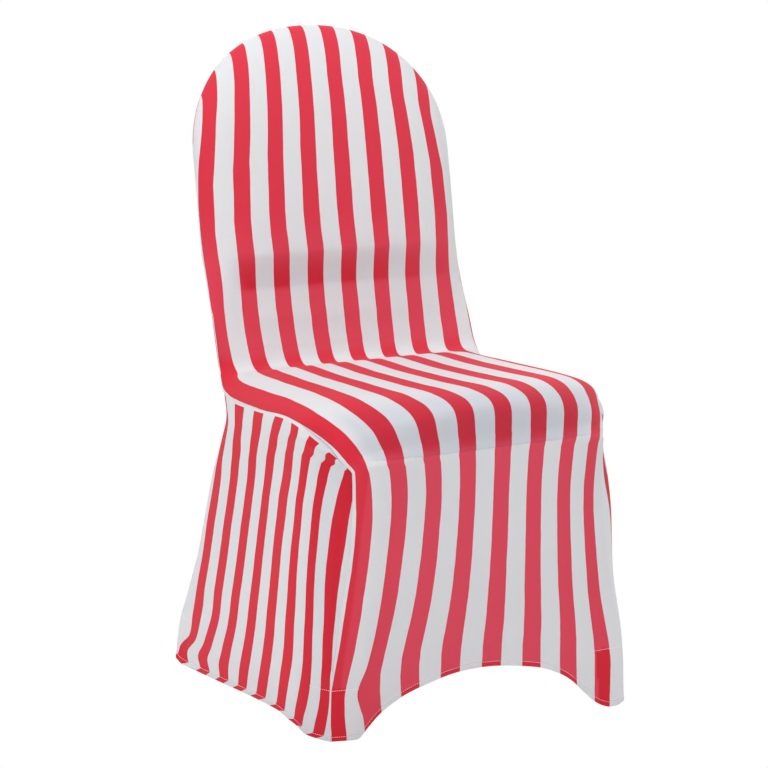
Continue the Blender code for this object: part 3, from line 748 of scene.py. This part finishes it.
# How deep the red is, as painted shade, from the top under the seat down to the rear foot; and the
#  share of painted shade near the front seam
SIDE_RED = {"top": 0.98, "rear foot": 0.78}
FRONT_SEAM_SHADE = {"share": 0.30, "from": 0.80, "over": 0.12}

# White edge of the cloth that shows above the side's stripes: share of the way from the rear
# seam to the front seam, and width
WHITE_EDGE = ((0, 0.0055), (0.8, 0.006), (0.97, 0.007), (1, 0.006))

# Stripe coordinate over the left panel: by the fall from top to hem, and by the share of the
# way from the rear seam to the front seam
STRIPE_SHARES = (0, 0.08, 0.2, 0.4, 0.6, 0.75, 0.85, 0.93, 1.0)
LEFT_STRIPES = (
    (0.00, 1.080, 1.480, 2.023, 2.991, 3.939, 4.909, 5.690, 6.362, 6.951),
    (0.04, 1.050, 1.450, 2.054, 3.064, 4.050, 4.935, 5.768, 6.547, 7.267),
    (0.08, 0.973, 1.396, 2.089, 3.106, 4.163, 4.988, 5.903, 6.756, 7.535),
    (0.12, 0.944, 1.387, 2.105, 3.150, 4.264, 5.119, 6.005, 6.901, 7.701),
    (0.20, 0.757, 1.331, 1.972, 3.201, 4.331, 5.260, 6.162, 7.069, 7.913),
    (0.30, 0.610, 1.133, 1.866, 3.140, 4.438, 5.385, 6.477, 7.502, 8.196),
    (0.50, 0.574, 1.118, 1.904, 3.225, 4.637, 5.709, 6.752, 7.801, 8.411),
    (0.70, 0.396, 0.965, 1.754, 3.129, 4.540, 5.639, 6.568, 7.535, 8.453),
    (0.82, 0.300, 0.764, 1.552, 3.014, 4.453, 5.570, 6.466, 7.365, 8.333),
    (0.90, 0.320, 0.723, 1.699, 3.128, 4.562, 5.714, 6.665, 7.478, 8.334),
    (0.95, 0.572, 1.177, 1.949, 3.214, 4.687, 5.839, 6.837, 7.658, 8.419),
    (1.00, 0.773, 1.055, 1.667, 3.158, 4.796, 5.989, 6.979, 7.813, 8.528),
)

# Folds that run from the pad's front corner into the left panel, and the hollow beside the
# front leg: two ends, width and height
LEFT_FOLDS = (
    ((-0.199, -0.230, 0.398), (-0.210, -0.212, 0.382), 0.0045, -0.0009),
    ((-0.194, -0.233, 0.388), (-0.211, -0.209, 0.366), 0.0045, 0.0010),
    ((-0.189, -0.234, 0.371), (-0.212, -0.206, 0.352), 0.0050, -0.0012),
    ((-0.187, -0.236, 0.350), (-0.208, -0.214, 0.336), 0.0050, 0.0008),
    ((-0.187, -0.237, 0.330), (-0.204, -0.221, 0.318), 0.0045, -0.0007),
    ((-0.192, -0.233, 0.300), (-0.199, -0.214, 0.110), 0.0080, -0.0022),
    ((-0.214, -0.060, 0.408), (-0.216, -0.070, 0.385), 0.0050, -0.0006),
    ((-0.214, 0.010, 0.408), (-0.216, 0.000, 0.388), 0.0050, -0.0005),
)


def side_hem(rear_foot, front_foot, s, outward):
    """The side's lower edge between two feet."""
    points = rear_foot + (front_foot - rear_foot) * s[:, None]
    points[:, 2] = hem_line(SIDE_HEM, s)
    points[:, 2] += front_foot[2] * np.clip(1 - (1 - s) / FOOT_ROUND, 0, 1)
    points[:, 2] += rear_foot[2] * np.clip(1 - s / FOOT_ROUND, 0, 1)
    corner = smooth(*np.transpose(CORNER_ROUND), 1 - s)
    out = SIDE_HEM_OUT["bulge"] * np.sin(np.pi * s) + SIDE_HEM_OUT["foot_bulge"] * corner
    points[:, 0] += outward * out
    return points


def side_panel_points(front, back, edge):
    """A side panel stretched between its seams; edge 0 is the left side, -1 the right."""
    start, turn = row_at(SIDE_START), row_at(SIDE_TURN)
    top, fore, rear = front[start:turn + 1, edge], front[turn:, edge], back[start:, edge]
    outward = -1 if edge == 0 else 1
    s, along_fore, along_rear = (
        lengths(line[None], 1)[0] / lengths(line[None], 1)[0, -1] for line in (top, fore, rear))
    t = (along_fore + along_rear) / 2
    hem = side_hem(rear[-1], fore[-1], s, outward)
    u, v = s[:, None, None], t[None, :, None]
    flat = (1 - v) * top[:, None] + v * hem[:, None] + (1 - u) * rear[None] + u * fore[None]
    corners = (1 - u) * (1 - v) * top[0] + u * (1 - v) * top[-1]
    flat = flat - corners - (1 - u) * v * hem[0] - u * v * hem[-1]
    corner = np.interp(t, *np.transpose(CORNER_BULGE))
    round_off = smooth(*np.transpose(CORNER_ROUND), 1 - s)
    pad = smooth(*np.transpose(PAD_BULGE), t)
    ends = np.clip(np.minimum(s, 1 - s) / PAD_ENDS, 0, 1)
    inner = np.ones_like(t)
    inner[[0, -1]] = 0
    flat[:, :, 0] += outward * (round_off[:, None] * corner[None] + ends[:, None] * pad[None]) * inner
    return flat


def left_stripes(grid):
    """Stripe coordinate over the left panel; rows run from the rear seam to the front."""
    along, down = lengths(grid, 0), np.linspace(0, 1, grid.shape[1])
    table = np.array(LEFT_STRIPES)
    share = along / along[-1:]
    result = np.empty(share.shape)
    for c, fall in enumerate(down):
        values = [smooth(table[:, 0], table[:, k + 1], fall) for k in range(len(STRIPE_SHARES))]
        result[:, c] = smooth(STRIPE_SHARES, values, share[:, c])
    return result + 0.5


def right_stripes(grid):
    """Stripe coordinate over the right panel, at one pitch from its front seam."""
    along = lengths(grid, 0)
    return RIGHT_STRIPES_END - (along[-1:] - along) / SIDE_PAIR


def side_piece(name, edge, panel, stripe_map, folds):
    """One side panel, sewn between the front and back panels; returns its grid."""
    grid = side_panel_points(front, back, edge) - shift
    stripes = stripe_map(grid)
    grid, stripes = grid.swapaxes(0, 1), stripes.swapaxes(0, 1)
    if edge == -1:
        grid, stripes = grid[:, ::-1], stripes[:, ::-1]
    over, down = lengths(grid, 1), lengths(grid, 0)
    white_edge = np.interp(over[:1] / over[:1, -1:], *np.transpose(WHITE_EDGE))
    towards_front = over / over[:, -1:]
    if edge == -1:
        white_edge = white_edge[:, ::-1]
        towards_front = 1 - towards_front
    # Painted shade: deeper red at the top under the seat, fading towards the rear foot, and darker near the
    # front seam
    fading = (SIDE_RED["top"] - SIDE_RED["rear foot"]) * down / down[-1:]
    places = {
        "deep_red_and_shade": SIDE_RED["top"] - fading * (1 - towards_front),
        "painted_shade": FRONT_SEAM_SHADE["share"] * ease((towards_front - FRONT_SEAM_SHADE["from"]) / FRONT_SEAM_SHADE["over"]),
        "bare": 1000 * (white_edge - down),
    }
    corners = ("rear_left", "front_left") if edge == 0 else ("front_right", "rear_right")
    slip = HEM_SLIP if edge == 0 else -HEM_SLIP
    piece = panel_piece(name, grid, stripes, pressed(grid, folds), places, corners, POCKET_BESIDE, slip)
    dress(piece, panel)
    return grid


left_grid = side_piece("side_cloth_left", 0, "side_panel_left", left_stripes, LEFT_FOLDS)
right_folds = [((-a[0], *a[1:]), (-b[0], *b[1:]), w, h) for a, b, w, h in LEFT_FOLDS]
right_grid = side_piece("side_cloth_right", -1, "side_panel_right", right_stripes, right_folds)


# ----------
# Foot pockets: a second layer of the knit inside each lower corner, folded round it and
# held by a line of stitches 64 to 86 mm up, so the cover can be hooked under a chair foot.
POCKET_CLOTH = 0.0014
POCKET_INSIDE = 0.0026
POCKET_FOOT = 0.006
POCKET_ROWS = 10
POCKET_COLUMNS = np.linspace(1, 0, 7)[:-1]
POCKET_HEM_LIFT = 0.004


def level_line(grid, height):
    """Where a panel crosses a height: one point a column, never below its hem's edge."""
    line = []
    for c in range(grid.shape[1]):
        z = grid[:, c, 2]
        level = max(height, z[-1] + POCKET_HEM_LIFT)
        r = int(np.argmax(z < level)) - 1
        part = (z[r] - level) / (z[r] - z[r + 1])
        line.append(grid[r, c] + (grid[r + 1, c] - grid[r, c]) * part)
    return np.array(line)


def walk(line, reach):
    """Point on a line at a distance from its first point."""
    length = lengths(line[None], 1)[0]
    return np.array([np.interp(reach, length, line[:, k]) for k in range(3)])


def pocket_points(panel, side, corner):
    """Grid around a lower corner; both panels are given with the corner in column 0."""
    rows = []
    for height in np.linspace(POCKET_TOPS[corner], POCKET_FOOT, POCKET_ROWS):
        ahead, beside = level_line(panel, height), level_line(side, height)
        row = [walk(ahead, POCKET_AHEAD[corner] * reach) for reach in POCKET_COLUMNS]
        row.append(ahead[0])
        row += [walk(beside, POCKET_BESIDE[corner] * reach) for reach in reversed(POCKET_COLUMNS)]
        rows.append(row)
    return np.array(rows)


pocket_cloth = striped_knit("pocket_knit", DEEP_RED)
low_front = front[row_at(PAD_SECTIONS):] - shift
low_back = back[row_at(SIDE_START):] - shift
CORNERS = (
    ("front_left", low_front, left_grid[:, ::-1]),
    ("front_right", low_front[:, ::-1], right_grid),
    ("rear_left", low_back, left_grid),
    ("rear_right", low_back[:, ::-1], right_grid[:, ::-1]),
)
for corner, panel, side in CORNERS:
    grid = pocket_points(panel, side, corner)
    normals = grid_normals(grid)
    middle = grid.reshape(-1, 3).mean(axis=0) * np.array([1, 1, 0])
    if (normals.reshape(-1, 3) @ middle).sum() < 0:
        grid = grid[:, ::-1]
        normals = grid_normals(grid)
    stitch_lines["pocket"].append((grid[0].copy(), normals[0].copy()))
    normals[..., 2] = 0
    outer = grid - normals * POCKET_INSIDE
    around = lengths(grid, 1) / STRIPE_PAIR
    places = {"deep_red_and_shade": 0 * around + 1, "painted_shade": 0 * around}
    piece = sheet_mesh("pocket_" + corner, outer, normals, POCKET_CLOTH, around, places)
    piece.data.materials.append(pocket_cloth)
    dress(piece, "foot_pocket_" + corner)


# ----------
# Seam allowances: the panels' cut edges of the same knit, sewn together and standing 6 mm
# into the cover. They hang from the seams and show only from below.
ALLOWANCE = {"depth": 0.006, "thick": 0.0018, "below": 0.0012, "above floor": 0.012, "rows": 4}


def joined_normals(first, second):
    """Direction halfway between two panels' outward normals along their seam."""
    total = first + second
    return total / np.linalg.norm(total, axis=1, keepdims=True)


front_n, back_n = grid_normals(front - shift), -grid_normals(back - shift)
start, turn = row_at(SIDE_START), row_at(SIDE_TURN)


def round_rim(grid):
    """A grid's edge over the crest, from one side panel to the other."""
    return np.concatenate([grid[start:0:-1, 0], grid[0], grid[1:start + 1, -1]])


seam_paths = [("rim", round_rim(front) - shift, joined_normals(round_rim(front_n), round_rim(back_n)))]
for side, edge, outward in (("left", 0, -1), ("right", -1, 1)):
    for part, rows, source, facing in (
            ("seat", slice(start, turn + 1), front, front_n), ("front", slice(turn, None), front, front_n),
            ("rear", slice(start, None), back, back_n)):
        normals = facing[rows, edge]
        sideways = 0 * normals + np.array([outward, 0, 0])
        outwards = joined_normals(normals, sideways)
        seam_paths.append((part + "_" + side, source[rows, edge] - shift, outwards))
overlock_lines = []
for name, line, outward in seam_paths:
    line = line[line[:, 2] > ALLOWANCE["above floor"]]
    outward = outward[:len(line)]
    tangent = np.gradient(line, axis=0)
    tangent /= np.linalg.norm(tangent, axis=1, keepdims=True)
    across_seam = np.cross(tangent, outward)
    across_seam /= np.linalg.norm(across_seam, axis=1, keepdims=True)
    depths = np.linspace(ALLOWANCE["below"], ALLOWANCE["below"] + ALLOWANCE["depth"], ALLOWANCE["rows"])
    grid = line[:, None] - outward[:, None] * depths[None, :, None]
    grid = grid + across_seam[:, None] * ALLOWANCE["thick"] / 2
    faces = np.repeat(across_seam[:, None], ALLOWANCE["rows"], 1)
    plain = np.zeros(grid.shape[:2])
    stripes = grid[..., 0] / STRIPE_PAIR + BACK_STRIPES["middle"]
    places = {"deep_red_and_shade": plain + 0.5, "painted_shade": plain}
    piece = sheet_mesh("allowance_" + name, grid, faces, ALLOWANCE["thick"], stripes, places)
    piece.data.materials.append(cloth)
    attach(piece, "root")
    overlock_lines.append((line - outward * depths[2], outward))


# ----------
# Stitching: white polyester thread, in a straight line along each turned-up hem and across
# each foot pocket, and overlocked along the seam allowances.
STITCH = {"Pitch": 0.0030, "Length": 0.0024, "Width": 0.00065, "Height": 0.0005}
OVERLOCK = {"Pitch": 0.0032, "Length": 0.0010, "Width": 0.0026, "Height": 0.0052}
THREAD = ((0.86, 0.78, 0.80), (0.95, 0.92, 0.93))


def thread_material():
    """White thread with a slight gloss."""
    made, tree, shader = material("white_thread", Roughness=0.5)
    place = node(tree, "ShaderNodeTexCoord", {}).outputs["Object"]
    grain = node(tree, "ShaderNodeTexNoise", {"Scale": 900.0, "Vector": place}).outputs["Fac"]
    tint = blend(tree, "MIX", grain, (*THREAD[0], 1), (*THREAD[1], 1))
    tree.links.new(tint, shader.inputs["Base Color"])
    return made


def stitch_tree(thread):
    """Geometry nodes: small rounded stitches laid end to end along a line on the cloth."""
    tree = bpy.data.node_groups.new("stitches", "GeometryNodeTree")
    tree.interface.new_socket("Geometry", in_out="INPUT", socket_type="NodeSocketGeometry")
    for size in STITCH:
        tree.interface.new_socket(size, in_out="INPUT", socket_type="NodeSocketFloat")
    tree.interface.new_socket("Geometry", in_out="OUTPUT", socket_type="NodeSocketGeometry")
    given = node(tree, "NodeGroupInput", {}).outputs
    line = node(tree, "GeometryNodeMeshToCurve", {"Mesh": given["Geometry"]}).outputs["Curve"]
    spaced = node(tree, "GeometryNodeResampleCurve",
                  {"Curve": line, "Length": given["Pitch"]}, mode="LENGTH")
    bead = node(tree, "GeometryNodeMeshUVSphere", {"Segments": 6, "Rings": 4, "Radius": 0.5})
    size = node(tree, "ShaderNodeCombineXYZ",
                {"X": given["Length"], "Y": given["Width"], "Z": given["Height"]})
    way = node(tree, "GeometryNodeInputTangent", {}).outputs["Tangent"]
    outward = node(tree, "GeometryNodeInputNamedAttribute", {"Name": "outward"}, data_type="FLOAT_VECTOR")
    along = node(tree, "FunctionNodeAlignRotationToVector", {"Vector": way}, axis="X")
    upright = node(tree, "FunctionNodeAlignRotationToVector",
                   {"Rotation": along.outputs["Rotation"], "Vector": outward.outputs["Attribute"]},
                   axis="Z", pivot_axis="X")
    laid = node(tree, "GeometryNodeInstanceOnPoints",
                {"Points": spaced.outputs["Curve"], "Instance": bead.outputs["Mesh"],
                 "Rotation": upright.outputs["Rotation"], "Scale": size.outputs["Vector"]})
    real = node(tree, "GeometryNodeRealizeInstances", {"Geometry": laid.outputs["Instances"]})
    dressed = node(tree, "GeometryNodeSetMaterial",
                   {"Geometry": real.outputs["Geometry"], "Material": thread})
    node(tree, "NodeGroupOutput", {"Geometry": dressed.outputs["Geometry"]})
    return tree


def sewn(name, lines, tree, sizes):
    """Stitches along lines, as one plain mesh."""
    points, edges, outward = [], [], []
    for line, normals in lines:
        first = len(points)
        points += [tuple(p) for p in line]
        outward += [tuple(n) for n in normals]
        edges += [(first + i, first + i + 1) for i in range(len(line) - 1)]
    path = bpy.data.meshes.new(name + "_path")
    path.from_pydata(points, edges, [])
    facing = path.attributes.new("outward", "FLOAT_VECTOR", "POINT")
    facing.data.foreach_set("vector", np.array(outward, np.float32).reshape(-1))
    guide = put(name + "_path", path)
    modifier = guide.modifiers.new("stitches", "NODES")
    modifier.node_group = tree
    for item in tree.interface.items_tree:
        if item.item_type == "SOCKET" and item.name in sizes:
            modifier[item.identifier] = sizes[item.name]
    solid = guide.evaluated_get(bpy.context.evaluated_depsgraph_get())
    mesh = bpy.data.meshes.new_from_object(solid)
    mesh.name = name
    bpy.data.objects.remove(guide, do_unlink=True)
    return put(name, mesh)


stitches = stitch_tree(thread_material())
for name, lines, sizes in (("hem_stitches", stitch_lines["hem"], STITCH),
                           ("pocket_stitches", stitch_lines["pocket"], STITCH),
                           ("overlock_stitches", overlock_lines, OVERLOCK)):
    piece = sewn(name, lines, stitches, sizes)
    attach(piece, "root")


# ----------
# Studio: a plain pale floor and soft light from large panels, and the camera at the
# photograph's angle. None of it is part of the cover.
FLOOR = [(-6, -6, -0.0005), (6, -6, -0.0005), (6, 6, -0.0005), (-6, 6, -0.0005)]
FLOOR_COLOUR = (0.93, 0.93, 0.94, 1)
PAPER = (1.0, 1.0, 1.0, 1)
ROOM_LIGHT = 0.54


def white_to_camera(tree, lighting, paper, output):
    """Let a surface light the cover as it is, and show plain white to the camera."""
    seen = node(tree, "ShaderNodeLightPath", {}).outputs["Is Camera Ray"]
    choice = node(tree, "ShaderNodeMixShader", {0: seen, 1: lighting.outputs[0], 2: paper.outputs[0]})
    tree.links.new(choice.outputs[0], tree.nodes[output].inputs["Surface"])


floor_mesh = bpy.data.meshes.new("floor")
floor_mesh.from_pydata(FLOOR, [], [(0, 1, 2, 3)])
floor = put("floor", floor_mesh)
pale, tree, shader = material("pale_floor", Base_Color=FLOOR_COLOUR, Roughness=0.9)
white_to_camera(tree, shader, node(tree, "ShaderNodeEmission", {"Color": PAPER}), "Material Output")
floor_mesh.materials.append(pale)

world = bpy.data.worlds.new("studio")
world.use_nodes = True
tree = world.node_tree
room = tree.nodes["Background"]
room.inputs["Color"].default_value = PAPER
room.inputs["Strength"].default_value = ROOM_LIGHT
paper = node(tree, "ShaderNodeBackground", {"Color": PAPER, "Strength": 1.0})
white_to_camera(tree, room, paper, "World Output")
bpy.context.scene.world = world
bpy.context.scene.view_settings.view_transform = "Standard"


def soft_light(name, place, aim, size, power):
    """A large square lamp that looks at a point."""
    data = bpy.data.lights.new(name, "AREA")
    data.shape = "SQUARE"
    data.size = size
    data.energy = power
    lamp = put(name, data)
    place, aim = Vector(place), Vector(aim)
    lamp.location = place
    lamp.rotation_euler = (aim - place).to_track_quat("-Z", "Y").to_euler()


soft_light("top", (-0.1, -0.7, 3.4), (0, 0, 0.4), 2.2, 58)
soft_light("key", (-3.0, -0.8, 1.5), (0, 0, 0.45), 1.8, 30)
soft_light("fill", (1.8, -2.4, 1.2), (0, 0, 0.45), 2.0, 9)
soft_light("rear", (0.6, 2.8, 2.0), (0, 0, 0.5), 2.0, 40)

# The camera, as found from the photograph: its direction in degrees and its distance from the
# seat, and its focal length and optical middle in pixels
SEEN_FROM = {"azimuth": -28.004, "elevation": 11.496, "distance": 2.844}
SEAT_MIDDLE = Vector((0, -DEPTH_SHIFT, 0.45))
PICTURE = {"side": 768, "focal": 2045.6, "middle": (404.46, 374.4)}
a, e = np.radians(SEEN_FROM["azimuth"]), np.radians(SEEN_FROM["elevation"])
towards = Vector((np.sin(a) * np.cos(e), -np.cos(a) * np.cos(e), np.sin(e)))
lens = bpy.data.cameras.new("camera")
lens.sensor_width = 36
lens.lens = PICTURE["focal"] / PICTURE["side"] * lens.sensor_width
lens.shift_x = (PICTURE["side"] / 2 - PICTURE["middle"][0]) / PICTURE["side"]
lens.shift_y = (PICTURE["middle"][1] - PICTURE["side"] / 2) / PICTURE["side"]
camera = put("camera", lens)
camera.location = SEAT_MIDDLE + towards * SEEN_FROM["distance"]
camera.rotation_euler = towards.to_track_quat("Z", "Y").to_euler()
bpy.context.scene.camera = camera
